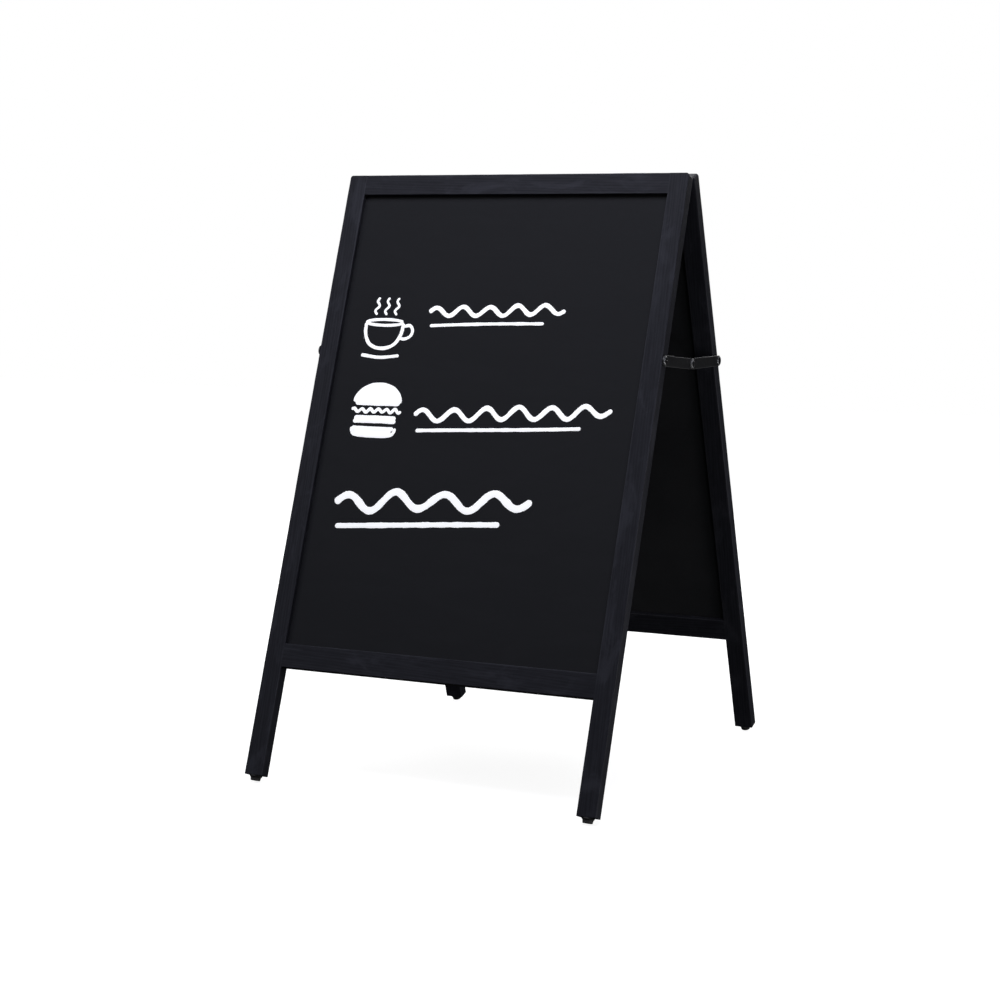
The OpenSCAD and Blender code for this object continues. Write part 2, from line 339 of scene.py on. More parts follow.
WOOD_DARK = (0.0103, 0.0106, 0.0137)
WOOD_MID = (0.0168, 0.0172, 0.0219)
WOOD_LIGHT = (0.027, 0.0276, 0.0346)
WOOD_WORN = (0.036, 0.0366, 0.0445)
ENAMEL = (0.009, 0.0093, 0.011)
ENAMEL_HAZE = (0.0205, 0.0207, 0.0232)
CHALK_DUST = (0.075, 0.075, 0.078)
CHALK_WHITE = (0.92, 0.92, 0.91)
CHALK_THIN = (0.1, 0.1, 0.1)
CHALK_GREY = (0.62, 0.62, 0.62)
CORE_DARK = (0.011, 0.0114, 0.0132)
CORE_MID = (0.0185, 0.0188, 0.0212)
CORE_LIGHT = (0.022, 0.0222, 0.0245)
BEECH_DARK = (0.36, 0.22, 0.11)
BEECH_LIGHT = (0.55, 0.38, 0.21)
RUBBER_BLACK = (0.01, 0.01, 0.0105)
RUBBER_DUST = (0.026, 0.0255, 0.025)
RUBBER_SCUFF = (0.03, 0.0295, 0.0285)
LACQUER_DARK = (0.0072, 0.0075, 0.0084)
LACQUER_LIGHT = (0.019, 0.0194, 0.021)
LACQUER_SCRATCH = (0.034, 0.034, 0.036)
SATIN_BARE = (0.07, 0.07, 0.073)
# bright rim colour of the stay's screw heads and rivets: rubbed steel and a painted highlight
GLOSSY_RIM_HIGHLIGHT = (0.23, 0.23, 0.24)
ZINC_TINT = (0.27, 0.28, 0.295)
ZINC_DULL = tuple(c * 0.7 for c in ZINC_TINT)
ZINC_PITTED = tuple(c * 0.45 for c in ZINC_TINT)
ALONG_GRAIN = 0.035  # scale of the grain's figure along the timber: less draws it out more
ALONG_CLOUD = 0.45  # the same for the stain's clouds
SEED_SHIFT = (1.37, 0.71, 2.13)  # what one seed's step moves the figure by


def stained_wood(name, along, seed):
    """Black-stained timber. along is its grain's axis, and seed shifts the figure between timbers."""
    p = Paint(name)
    stretch = [1.0] * 3
    stretch["XYZ".index(along)] = ALONG_GRAIN
    shift = [seed * c for c in SEED_SHIFT]
    grain_space = p.mapped(scale=stretch, offset=shift)
    cloudy = [1.0] * 3
    cloudy["XYZ".index(along)] = ALONG_CLOUD
    wander = p.noise(p.mapped(scale=cloudy, offset=shift), 26.0, 5.0, 0.62, 0.6)
    fibres = p.noise(grain_space, 900.0, 6.0, 0.65, 0.4)
    streaks = p.noise(grain_space, 340.0, 5.0, 0.6, 1.0)
    rings = p.node("ShaderNodeTexWave", [("wave_type", "BANDS"), ("bands_direction", "DIAGONAL")],
                   Vector=grain_space, Scale=120.0, Distortion=7.0, Detail=3.0,
                   Detail_Scale=1.4).outputs["Fac"]
    figure = p.plus(p.times(rings, 0.3), p.times(streaks, 0.7))
    color = p.mix(p.remap(figure, 0.2, 0.8), WOOD_DARK, WOOD_MID)
    color = p.mix(p.remap(wander, 0.5, 0.68, 0.0, 0.6), color, WOOD_LIGHT)
    color = p.mix(p.remap(wander, 0.46, 0.34, 0.0, 0.55), color, WOOD_DARK)
    color = p.mix(p.remap(fibres, 0.5, 0.85, 0.0, 0.7), color, WOOD_LIGHT)
    rubbed = p.times(p.edge(), p.remap(p.noise(grain_space, 60.0, 4.0), 0.4, 0.66, 0.1, 0.8))
    color = p.mix(rubbed, color, WOOD_WORN)
    roughness = p.plus(p.remap(figure, 0.2, 0.8, 0.56, 0.46), p.remap(wander, 0.3, 0.7, -0.04, 0.06))
    pores = p.remap(fibres, 0.35, 0.75)
    normal = p.bump(pores, 0.3, 0.12 * MM)
    normal = p.bump(figure, 0.2, 0.25 * MM, normal)
    return p.finish(color, roughness, normal, specular=0.06)


def chalkboard(name, seed):
    """Matt enamelled steel with the haze of wiped chalk."""
    p = Paint(name)
    shift = (seed * 0.9, seed * 1.7, seed * 0.3)
    wiping = p.mapped(scale=(1.0, 1.0, 3.4), offset=shift, turn=(0, math.radians(24), 0))
    wiped = p.noise(wiping, 5.5, 6.0, 0.62, 1.1)
    stroking = p.mapped(scale=(0.35, 1.0, 6.0), offset=shift, turn=(0, math.radians(-17), 0))
    strokes = p.noise(stroking, 46.0, 5.0, 0.6, 0.5)
    dust = p.noise(p.mapped(offset=shift), 2600.0, 2.0, 0.5)
    grit = p.noise(p.mapped(offset=shift), 5200.0, 3.0, 0.6)
    haze = p.times(p.remap(wiped, 0.42, 0.78), p.remap(strokes, 0.3, 0.75, 0.35, 1.0))
    specks = p.times(p.remap(dust, 0.62, 0.8), p.remap(wiped, 0.35, 0.7, 0.15, 0.8))
    color = p.mix(p.times(haze, 0.3), ENAMEL, ENAMEL_HAZE)
    color = p.mix(p.times(specks, 0.3), color, CHALK_DUST)
    roughness = p.remap(haze, 0.0, 1.0, 0.72, 0.88)
    normal = p.bump(grit, 0.3, 0.05 * MM)
    return p.finish(color, roughness, normal, specular=0.1)


def chalk():
    """Chalk: dense and white in the middle of a stroke, broken where it thins out at the sides."""
    p = Paint("chalk")
    grain = p.noise(p.coords, 1500.0, 4.0, 0.7)
    coarse = p.noise(p.coords, 330.0, 4.0, 0.6)
    body = p.plus(p.edge("body"), p.times(p.math("SUBTRACT", grain, 0.5), 1.5))
    body = p.plus(body, p.times(p.math("SUBTRACT", coarse, 0.5), 0.8))
    color = p.mix(p.remap(body, 0.02, 0.3), CHALK_THIN, CHALK_WHITE)
    color = p.mix(p.remap(grain, 0.55, 0.8, 0.0, 0.25), color, CHALK_GREY)
    # The chalk also glows faintly in its own colour. This is painted brightness, since chalk gives off no light.
    p.put(p.shader.inputs["Emission Color"], color)
    p.shader.inputs["Emission Strength"].default_value = 0.3
    return p.finish(color, 1.0, p.bump(grain, 0.6, 0.12 * MM), specular=0.1)


def core_board():
    """Black-primed hardboard with short pressed fibres."""
    p = Paint("core_board")
    fibre = p.noise(p.mapped(scale=(1.0, 1.0, 0.45), turn=(0.3, 0.5, 0.2)), 700.0, 5.0, 0.7, 1.5)
    cloud = p.noise(p.coords, 9.0, 4.0, 0.6)
    color = p.mix(p.remap(fibre, 0.35, 0.7), CORE_DARK, CORE_MID)
    color = p.mix(p.remap(cloud, 0.35, 0.7, 0.0, 0.4), color, CORE_LIGHT)
    roughness = p.remap(cloud, 0.3, 0.7, 0.66, 0.8)
    return p.finish(color, roughness, p.bump(fibre, 0.4, 0.15 * MM), specular=0.2)


def dowel_wood():
    """Plain beech with short flecks."""
    p = Paint("dowel_wood")
    grain = p.noise(p.mapped(scale=(0.06, 1.0, 1.0)), 900.0, 5.0, 0.6, 0.3)
    color = p.mix(p.remap(grain, 0.35, 0.7), BEECH_DARK, BEECH_LIGHT)
    return p.finish(color, p.remap(grain, 0.3, 0.7, 0.5, 0.65), p.bump(grain, 0.3, 0.1 * MM))


def rubber():
    """Moulded black rubber with floor dust in its pores."""
    p = Paint("rubber")
    pores = p.noise(p.coords, 2400.0, 3.0, 0.6)
    dust = p.noise(p.coords, 160.0, 5.0, 0.65)
    color = p.mix(p.remap(dust, 0.45, 0.75, 0.0, 0.55), RUBBER_BLACK, RUBBER_DUST)
    scuffed = p.times(p.edge(), p.remap(dust, 0.35, 0.65, 0.2, 0.9))
    color = p.mix(scuffed, color, RUBBER_SCUFF)
    return p.finish(color, p.remap(dust, 0.3, 0.7, 0.55, 0.75), p.bump(pores, 0.35, 0.06 * MM), specular=0.4)


def black_steel(name, roughness, specular, edge_color):
    """Black-lacquered steel, lighter at its marked edges: rubbed bare, and in the glossy finish of the stay's
    screw heads and rivets also a painted highlight.
    """
    p = Paint(name)
    peel = p.noise(p.coords, 1300.0, 2.0, 0.5)
    rub_and_highlight = p.noise(p.coords, 210.0, 5.0, 0.65)
    scratch = p.noise(p.mapped(scale=(1.0, 0.12, 1.0), turn=(0.5, 0.0, 0.3)), 1500.0, 3.0, 0.6)
    color = p.mix(p.remap(rub_and_highlight, 0.45, 0.75, 0.0, 0.6), LACQUER_DARK, LACQUER_LIGHT)
    color = p.mix(p.remap(scratch, 0.64, 0.78, 0.0, 0.4), color, LACQUER_SCRATCH)
    # lighter marked edges: rubbing, and on the glossy heads a painted highlight
    wear_and_highlight = p.times(p.edge(), p.remap(rub_and_highlight, 0.38, 0.6, 0.2, 1.0))
    color = p.mix(wear_and_highlight, color, edge_color)
    gloss = p.remap(rub_and_highlight, 0.3, 0.7, *roughness)
    return p.finish(color, gloss, p.bump(peel, 0.22, 0.06 * MM), specular=specular)


def zinc_steel():
    """Zinc-plated steel, clouded by handling and finely scratched."""
    p = Paint("zinc_steel")
    cloud = p.noise(p.coords, 130.0, 5.0, 0.6)
    speckle = p.noise(p.coords, 1400.0, 3.0, 0.6)
    scratch = p.noise(p.mapped(scale=(1.0, 0.08, 1.0)), 2200.0, 3.0, 0.6)
    color = p.mix(p.remap(cloud, 0.35, 0.7), ZINC_TINT, ZINC_DULL)
    color = p.mix(p.remap(speckle, 0.55, 0.8, 0.0, 0.5), color, ZINC_PITTED)
    roughness = p.plus(p.remap(scratch, 0.3, 0.75, 0.34, 0.5), p.remap(cloud, 0.3, 0.7, 0.0, 0.08))
    return p.finish(color, roughness, p.bump(scratch, 0.2, 0.03 * MM), metallic=1.0)


# ---- frame timbers

ARRIS = 1.1 * MM  # rounding of the sanded long edges
LEAST_ARRIS = 0.05 * MM  # what is left of it at a rounded end
JOINT_ARRIS = 0.16 * MM  # at the joints, which are sanded flush
END_ARRIS = 0.7 * MM  # rounding of sawn ends
END_STEPS = (0.0, 0.08, 0.3, 0.62, 1.0)  # cross-sections of a rounded end, in shares of its radius
GUARD = 2.2 * MM  # width of the strip beside an arris where rubbing fades
ARRIS_STEPS = 4
ARRIS_WEAR = (0.0, 0.5, 1.0, 1.0, 1.0, 0.5, 0.0)  # rubbing round one arris, from strip to strip
STATION = 11 * MM  # spacing of the cross-sections
STATION_GAP = 1.2 * MM  # least space between a regular cross-section and a detail's
GROOVE_STEP = 0.04 * MM  # length over which the panel's groove reaches its depth
THROUGH = 1e-9  # start of a groove that runs out through the timber's end
BEFORE_END = -1.0  # start of a joint that runs out through it
JOINT_OUT = 0.3 * MM  # the cross-sections outside and inside a joint's end
JOINT_IN = 1.2 * MM
CORNER_R = 5 * MM  # the stiles' rounded top corners
CORNER_DEGREES = range(24, 91, 11)  # the cross-sections round it
WOBBLE = 0.45  # share by which sanding by hand varies an arris
WOBBLE_RATE = 38.0  # how often it does so along a timber
SAND_DIP = 0.09 * MM  # depth of hand-sanding waves
SAND_RATE = 9.0  # how often they come
RAIL_PLAY = 0.03 * MM  # gap between a rail's end and the stile


def timber_section(width, radii, inset, corner_cut, groove_d):
    """Cross-section of a frame timber as (across, out) points and their edge values.

    across runs from the opening's side outwards, out from the inner face to the outer face.
    radii are for the corners opening/inner, outside/inner, outside/outer and opening/outer.
    corner_cut is what a rounded corner takes off the outside."""
    x0, x1 = inset, width - inset - corner_cut
    y0, y1 = inset, BOARD_T - inset
    corners = [((x0, y0), 180), ((x1, y0), 270), ((x1, y1), 0), ((x0, y1), 90)]
    points, values = [], []
    for (corner, start), radius in zip(corners, radii):
        radius = max(radius - inset * 0.5, LEAST_ARRIS)
        toward = (1 if corner[0] == x0 else -1, 1 if corner[1] == y0 else -1)
        centre = (corner[0] + toward[0] * radius, corner[1] + toward[1] * radius)
        bend = arc(centre, radius, start, start + 90, ARRIS_STEPS)
        guard = radius + GUARD
        vertical = (corner[0], corner[1] + toward[1] * guard)
        level = (corner[0] + toward[0] * guard, corner[1])
        before, after = (vertical, level) if start in (180, 0) else (level, vertical)
        points += [before, *bend, after]
        values += ARRIS_WEAR
    g0, g1 = GROOVE
    points += [(x0, g1), (x0 + groove_d, g1), (x0 + groove_d, g0), (x0, g0)]
    values += [0.0] * 4
    return points, values


def stations(length, extra):
    """Places of the cross-sections along a timber, with the extra ones that its details need."""
    count = max(2, round(length / STATION))
    regular = [length * i / count for i in range(count + 1)]
    ends = [END_ARRIS * share for share in END_STEPS]
    places = ends + [length - end for end in ends] + list(extra)
    clear = [at for at in regular if all(abs(at - place) > STATION_GAP for place in places)]
    return sorted(set(places + clear))


def end_inset(at, length, radius):
    """How far the surface is drawn in near a rounded end."""
    near = min(at, length - at)
    if near >= radius:
        return 0.0
    return radius - math.sqrt(max(0.0, radius ** 2 - (radius - near) ** 2))


def timber(name, width, length, place, seed, groove, joints=(), top_corner=0.0, end_radius=END_ARRIS):
    """Builds one timber's mesh. place turns (across, out, along) into the board's frame.

    groove is the stretch that holds the panel.
    joints are the (start, end) stretches where another timber butts against its opening side.
    top_corner is the radius of the corner at along = 0."""
    g_start, g_end = groove
    extra = [g_start - GROOVE_STEP, g_start, g_end, g_end + GROOVE_STEP]
    for start, end in joints:
        near = (start - JOINT_OUT, start + JOINT_IN, end - JOINT_IN, end + JOINT_OUT)
        extra += [at for at in near if 0 < at < length]
    if top_corner:
        extra += [top_corner * (1 - math.cos(math.radians(a))) for a in CORNER_DEGREES]
    rings, values = [], None
    for at in stations(length, extra):
        inset = end_inset(at, length, end_radius)
        corner_cut = end_inset(at, math.inf, top_corner) if top_corner else 0.0
        in_joint = any(start <= at <= end for start, end in joints)
        radii = []
        for corner in range(4):
            swing = noise.noise(Vector((seed * 7.3 + corner * 3.1, at * WOBBLE_RATE, 0.0)))
            radii.append(ARRIS * (1 + WOBBLE * swing))
        if in_joint:
            radii[0] = radii[3] = JOINT_ARRIS
        depth = GROOVE_D if g_start <= at <= g_end else 0.0
        outline, values = timber_section(width, radii, inset, max(0.0, corner_cut - inset), depth)
        ring = []
        for i, (across, out) in enumerate(outline):
            swing = noise.noise(Vector((seed + i // len(ARRIS_WEAR), at * SAND_RATE, 3.3)))
            dip = SAND_DIP * (0.5 + 0.5 * swing)
            on_outer = out > BOARD_T - ARRIS * 2 and not in_joint
            ring.append(place(across, out - (dip if on_outer else 0.0), at))
        rings.append(ring)
    bm = bmesh.new()
    add_loft(bm, rings, values)
    return finish_mesh(name, bm)


def stained(node, mesh, board, along, seed):
    """Stains a timber and places it."""
    material = stained_wood(f"stained_wood_{seed}", along, seed)
    keep_flats_flat(place_piece(mesh.name, mesh, BOARDS[board], BODIES[board], material,
                                [node]))


def stile(board, side, seed):
    """One upright. side is its side in the board's own frame: 1 for +X, -1 for -X."""
    length = STILE_HIGH.z - STILE_LOW.z

    def place(across, out, along):
        return Vector((side * (HALF_OPENING + across), INNER_Y - out, STILE_HIGH.z - along))

    top_joint = (BEFORE_END, STILE_HIGH.z - OPENING_TOP)
    base_joint = (STILE_HIGH.z - OPENING_BOTTOM, STILE_HIGH.z - BASE_LOW.z)
    groove = (top_joint[1] - GROOVE_D, base_joint[0] + GROOVE_D)
    world_side = side if board == "front" else -side
    node = f"{board}_{'right' if world_side > 0 else 'left'}_stile"
    mesh = timber(node + "_timber", STILE_W, length, place, seed, groove, [top_joint, base_joint], CORNER_R)
    stained(node, mesh, board, "Z", seed)


def rail(board, which, seed):
    """The top or bottom cross-timber between the stiles."""
    low, high = (RAIL_LOW, RAIL_HIGH) if which == "top" else (BASE_LOW, BASE_HIGH)
    length = high.x - low.x

    def place(across, out, along):
        z = low.z + across if which == "top" else high.z - across
        return Vector((low.x + RAIL_PLAY + along * (1 - 2 * RAIL_PLAY / length), INNER_Y - out, z))

    node = f"{board}_{which}_rail"
    mesh = timber(node + "_timber", high.z - low.z, length, place, seed, (THROUGH, length),
                  end_radius=JOINT_ARRIS)
    stained(node, mesh, board, "X", seed)


timber_seed = 1
for board in BOARDS:
    for side in (-1, 1):
        stile(board, side, timber_seed)
        timber_seed += 1
    for which in ("top", "bottom"):
        rail(board, which, timber_seed)
        timber_seed += 1

# ---- writing sheets and core panels

SHEET_CORNER_R = 2.5 * MM
SHEET_ARRIS = 0.18 * MM


def writing_sheet(board, seed):
    """An enamelled steel sheet with rounded corners and edges."""
    width = SHEET_HIGH.x - SHEET_LOW.x
    height = SHEET_HIGH.z - SHEET_LOW.z
    thickness = SHEET_HIGH.y - SHEET_LOW.y

    def outline(inset):
        radius = SHEET_CORNER_R - inset
        half_x = width / 2 - inset - radius
        half_y = height / 2 - inset - radius
        points = []
        for sign_x, sign_y, start in ((1, -1, -90), (1, 1, 0), (-1, 1, 90), (-1, -1, 180)):
            points += arc((sign_x * half_x, sign_y * half_y), radius, start, start + 90, 5)
        return points

    middle = Vector(((SHEET_LOW.x + SHEET_HIGH.x) / 2, SHEET_HIGH.y, (SHEET_LOW.z + SHEET_HIGH.z) / 2))
    stand = Matrix.Translation(middle) @ Matrix.Rotation(math.radians(90), 4, "X")
    bm = bmesh.new()
    add_plate(bm, outline, [], thickness, SHEET_ARRIS, stand)
    name = f"{board}_sheet_enamel"
    mesh = finish_mesh(name, bm)
    material = chalkboard(f"chalkboard_{board}", seed)
    nodes = [f"{board}_writing_sheet"]
    keep_flats_flat(place_piece(name, mesh, BOARDS[board], BODIES[board], material, nodes))


def dress(node, material):
    """Keeps a CAD node as it is and gives it a finish."""
    obj = frame["nodes"][node]
    obj.data.materials.clear()
    obj.data.materials.append(material)


CORE = core_board()
DOWEL = dowel_wood()
STEEL = black_steel("black_steel", (0.3, 0.44), 0.26, SATIN_BARE)
# The glossy finish's bright edge colour paints a highlight round the rims of the stay's screw heads and rivets,
# over their rubbing.
GLOSSY_STEEL = black_steel("black_steel_glossy", (0.16, 0.28), 0.5, GLOSSY_RIM_HIGHLIGHT)
ZINC = zinc_steel()
RUBBER = rubber()

for seed, board in enumerate(BOARDS, 1):
    writing_sheet(board, seed)
    dress(f"{board}_core_panel", CORE)
    dress(f"{board}_dowels", DOWEL)

# ---- chalk drawings

CHALK = chalk()
CHALK_T = 0.22 * MM
CHALK_STEP = 1.2 * MM  # spacing of a stroke's cross-sections
STROKE_PROFILE = [  # (across in widths, height in thicknesses, how dense the chalk is)
    (-0.5, 0.0, 0.0), (-0.42, 0.7, 0.6), (-0.2, 1.0, 1.0),
    (0.2, 1.0, 1.0), (0.42, 0.7, 0.6), (0.5, 0.0, 0.0)]
PRESS_SWING = 0.16  # share by which the pressure of the hand varies a stroke's width
FRAY = 0.1  # the same for its ragged sides
WAVE_UNEVEN = 0.22  # share by which the waves of a wavy line differ in height
WAVE_POINTS = 8  # points in one wave


def spline(points):
    """Catmull-Rom curve through the points, sampled about every CHALK_STEP."""
    path = [Vector(p) for p in points]
    path = [path[0] * 2 - path[1], *path, path[-1] * 2 - path[-2]]
    samples = []
    for a, b, c, d in zip(path, path[1:], path[2:], path[3:]):
        count = max(2, math.ceil((c - b).length / CHALK_STEP))
        for i in range(count):
            t = i / count
            samples.append(0.5 * (2 * b + (c - a) * t + (2 * a - 5 * b + 4 * c - d) * t * t
                                  + (3 * b - a - 3 * c + d) * t ** 3))
    samples.append(path[-2].copy())
    return samples


def add_stroke(bm, points, width, seed):
    """A chalk stroke through (across, down) points, measured from the sheet's top left corner."""
    samples = spline([Vector((across, down, 0)) for across, down in points])
    travelled, reach = 0.0, [0.0]
    for a, b in zip(samples, samples[1:]):
        travelled += (b - a).length
        reach.append(travelled)
    rings = []
    for i, point in enumerate(samples):
        ahead = samples[min(i + 1, len(samples) - 1)] - samples[max(i - 1, 0)]
        side = Vector((-ahead.y, ahead.x, 0)).normalized()
        press = 1 + PRESS_SWING * noise.noise(Vector((seed * 5.1, reach[i] * 60.0, 0)))
        near = min(reach[i], travelled - reach[i]) / (width * 0.5)
        blunt = math.sqrt(max(0.04, 1 - (1 - min(1.0, near)) ** 2))
        ring = []
        for share, rise, _ in STROKE_PROFILE:
            fray = FRAY * noise.noise(Vector((seed * 3.7 + share * 9, reach[i] * 420.0, share * 40)))
            across = width * press * blunt * (share + math.copysign(fray, share) * abs(share) * 2)
            spot = point + side * across
            out = SHEET_LOW.y - CHALK_T * rise * blunt
            ring.append(Vector((SHEET_LOW.x + spot.x, out, SHEET_HIGH.z - spot.y)))
        rings.append(ring)
    add_loft(bm, rings, [dense for _, _, dense in STROKE_PROFILE], "body")


def chalk_piece(name, strokes):
    """One drawing on the front sheet, from pairs of points and stroke width, in millimetres."""
    bm = bmesh.new()
    for i, (points, width) in enumerate(strokes):
        spots = [(across * MM, down * MM) for across, down in points]
        add_stroke(bm, spots, width * MM, i + len(name))
    mesh = finish_mesh(name, bm, 60)
    place_piece(name, mesh, FRONT, BODIES["front"], CHALK)


def wave(start, end, swing, period, seed):
    """Points of a hand-drawn wavy line between two places, with waves of uneven height."""
    rng = random.Random(seed)
    run = end[0] - start[0]
    waves = run / period
    heights = [1 + rng.uniform(-WAVE_UNEVEN, WAVE_UNEVEN) for _ in range(math.ceil(waves) + 2)]
    count = round(waves * WAVE_POINTS)
    points = []
    for i in range(count + 1):
        turn = waves * i / count
        here = heights[int(turn)] + (heights[int(turn) + 1] - heights[int(turn)]) * (turn % 1)
        bend = 0.1 * math.sin(turn * 2.1 + seed)
        across = start[0] + run * i / count
        down = start[1] + (end[1] - start[1]) * i / count
        points.append((across, down + swing * here * (bend - math.sin(2 * math.pi * turn))))
    return points


def level_stroke(middle, down, reach, seed):
    """Points of a short, slightly uneven level stroke."""
    rng = random.Random(seed)
    left = middle - reach + rng.uniform(-1.5, 1.5)
    right = middle + reach + rng.uniform(-1.5, 1.5)
    left_down = down + rng.uniform(-0.8, 0.8)
    middle_down = down + rng.uniform(-0.6, 0.6)
    return [(left, left_down), (middle, middle_down), (right, down)]


def chalk_cup():
    """A steaming cup on a saucer."""
    bowl = [(46, 243), (48, 264), (57, 281), (70, 289), (84, 291)]
    bowl += [(98, 289), (111, 281), (120, 264), (122, 243)]
    rim = arc((84, 242), 37, -8, 350, 22, 5.5)
    handle = [(124, 249), (135, 247), (142, 255), (140, 266), (130, 272), (120, 272)]
    saucer = [(46, 304), (84, 308), (123, 304)]
    strokes = [(bowl, 6.6), (rim, 5.4), (handle, 5.8), (saucer, 6.0)]
    for x in (64, 84, 104):
        steam = [(x + 1, 228), (x - 4, 220), (x + 3, 211), (x - 2, 202), (x + 2, 195)]
        strokes.append((steam, 4.8))
    chalk_piece("chalk_cup", strokes)


def chalk_burger():
    """A filled-in burger: a domed bun, a wavy leaf, a patty and the lower bun."""
    middle, base, rise, reach = 96, 393, 34, 45
    strokes = [(arc((middle, base), reach, 180, 360, 20, rise), 8.0)]
    rows = 5
    for i in range(rows):
        height = (rise - 1) * i / rows
        half = reach * math.sqrt(1 - (height / rise) ** 2)
        strokes.append((level_stroke(middle, base - height, half, 20 + i), 9.5))
    strokes.append((wave((47, 408), (146, 407), 3.4, 16.5, 4), 6.0))
    strokes += [(level_stroke(middle, down, 42, down), 8.5) for down in (421, 427)]
    lower = [(52, 439), (54, 447), (62, 453), (96, 455), (130, 453), (138, 447), (140, 439)]
    strokes.append((lower, 6.0))
    strokes += [(level_stroke(middle, 441, 42, 31), 8.0), (level_stroke(middle, 448, 38, 32), 8.0)]
    chalk_piece("chalk_burger", strokes)


def chalk_line(name, start, end, swing, period, width, seed):
    """A wavy line over a straight one, in millimetres, in place of a line of writing."""
    run, rise = end[0] - start[0], end[1] - start[1]
    gap = swing + width * 2.1
    under = []
    for i in range(7):
        t = 0.02 + 0.84 * i / 6
        under.append((start[0] + run * t, start[1] + rise * t + gap + 1.2 * math.sin(4 * t + seed)))
    chalk_piece(name, [(wave(start, end, swing, period, seed), width), (under, width * 0.72)])


chalk_cup()
chalk_burger()
chalk_line("chalk_line_upper", (170, 221), (434, 211), 8.5, 53, 8.0, 3)
chalk_line("chalk_line_middle", (174, 414), (549, 392), 9.5, 62, 9.0, 5)
chalk_line("chalk_line_lower", (46, 579), (426, 557), 15.0, 95, 13.0, 8)

# ---- feet

FOOT_R = (FOOT_HIGH.x - FOOT_LOW.x) / 2
FOOT_H = FOOT_HIGH.z - FOOT_LOW.z
FOOT_TIP_R = FOOT_R * 0.773
FOOT_WAIST_R = FOOT_R * 0.836
FOOT_RIM = 0.8 * MM  # rounding at the leg
FOOT_TIP = 0.7 * MM  # rounding at the tread
TREAD_D = 0.5 * MM  # depth of the ring moulded in the tread
WORN_RING = 1.7 * MM  # the rubber is scuffed over this width at its outside
SCREW_SINK_R = 4.2 * MM
SCREW_SEAT = 5 * MM
SCREW_HOLE_R = 2.05 * MM


def foot_mesh(name):
    """A turned rubber foot: flared rim, drawn-in waist, tapered tread with a sunk screw seat."""
    profile = [(SCREW_HOLE_R, 0), (FOOT_R - FOOT_RIM, 0)]
    profile += arc((FOOT_R - FOOT_RIM, -FOOT_RIM), FOOT_RIM, 90, 0, 4)
    # down the flare to the waist
    profile += [(FOOT_R, -WORN_RING), (FOOT_R - 0.35 * MM, -2.3 * MM)]
    profile += [(FOOT_WAIST_R + 0.5 * MM, -3.1 * MM), (FOOT_WAIST_R, -4.0 * MM)]
    profile.append((FOOT_WAIST_R - 0.1 * MM, -4.8 * MM))
    profile += arc((FOOT_TIP_R - FOOT_TIP, FOOT_TIP - FOOT_H), FOOT_TIP, 0, -90, 4)
    # across the ring in the tread, then up the screw's seat
    profile += [(FOOT_TIP_R - 1.8 * MM, -FOOT_H), (FOOT_TIP_R - 2.1 * MM, TREAD_D - FOOT_H)]
    profile += [(SCREW_SINK_R + 1.2 * MM, TREAD_D - FOOT_H), (SCREW_SINK_R + 0.9 * MM, -FOOT_H)]
    profile += [(SCREW_SINK_R, -FOOT_H), (SCREW_SINK_R, -SCREW_SEAT), (SCREW_HOLE_R, -SCREW_SEAT)]
    profile.append((SCREW_HOLE_R, 0))
    bm = bmesh.new()
    layer = bm.verts.layers.float.new("edge")
    for ring, (radius, height) in zip(add_lathe(bm, profile, segments=56), profile):
        at_end = height < 1.2 * MM - FOOT_H or height > -WORN_RING
        for vert in ring:
            vert[layer] = 1.0 if at_end and radius > FOOT_TIP_R - WORN_RING else 0.0
    return finish_mesh(name, bm, 50)


for board in BOARDS:
    for side in ("left", "right"):
        node = f"{board}_{side}_foot"
        low, high = box_in(node, BOARDS[board])
        spot = Vector(((low.x + high.x) / 2, (low.y + high.y) / 2, high.z))
        mesh = foot_mesh(node + "_rubber")
        mesh.transform(BOARDS[board] @ Matrix.Translation(spot))
        place_piece(node + "_rubber", mesh, Matrix.Identity(4), BODIES[board], RUBBER, [node])

# ---- screws

TURNED_CREASE = 40  # crease angle of turned metal, in degrees
THREAD_PITCH = 1.4 * MM
THREAD_ROOT = 0.78  # the thread's least radius, as a share of its greatest
THREAD_FROM = 0.9  # share of the shank below the head at which the thread starts
THREAD_RUN = 0.8  # share of the shank that it covers
NECK = 0.9  # radius below the head, as a share of the thread's greatest
RECESS_TIP = 0.35  # size of a cross recess at its bottom, as a share of its top
RIM_HIGHLIGHT_FROM = 0.86  # a head's rim outside this share of its radius is marked lighter: rubbing, and on the glossy stay screws a painted highlight
HINGE_SHANK_R = 1.5 * MM
spins = random.Random(11)  # how far each screw is turned in its hole


def recess_cutter(reach, top, bottom):
    """A cross-shaped tapered plug, for cutting a screw head's recess."""
    rings = []
    for scale, height in ((1.0, top), (RECESS_TIP, bottom)):
        a = reach * scale
        b = reach * 0.2 * (0.4 + 0.6 * scale)
        quarter = [(a, b), (b, b), (b, a)]
        cross = quarter + [(-x, y) for x, y in reversed(quarter)]
        cross += [(-x, -y) for x, y in cross]
        rings.append([Vector((x, y, height)) for x, y in cross])
    bm = bmesh.new()
    add_loft(bm, rings)
    return finish_mesh("cutter", bm)


def cut(mesh, cutter):
    """mesh less cutter, by an exact boolean on two passing objects."""
    body = add_object("cut_body", mesh)
    tool = add_object("cut_tool", cutter)
    modifier = body.modifiers.new("recess", "BOOLEAN")
    modifier.operation = "DIFFERENCE"
    modifier.solver = "EXACT"
    modifier.object = tool
    graph = bpy.context.evaluated_depsgraph_get()
    made = bpy.data.meshes.new_from_object(body.evaluated_get(graph))
    for obj in (body, tool):
        bpy.data.objects.remove(obj)
    return made


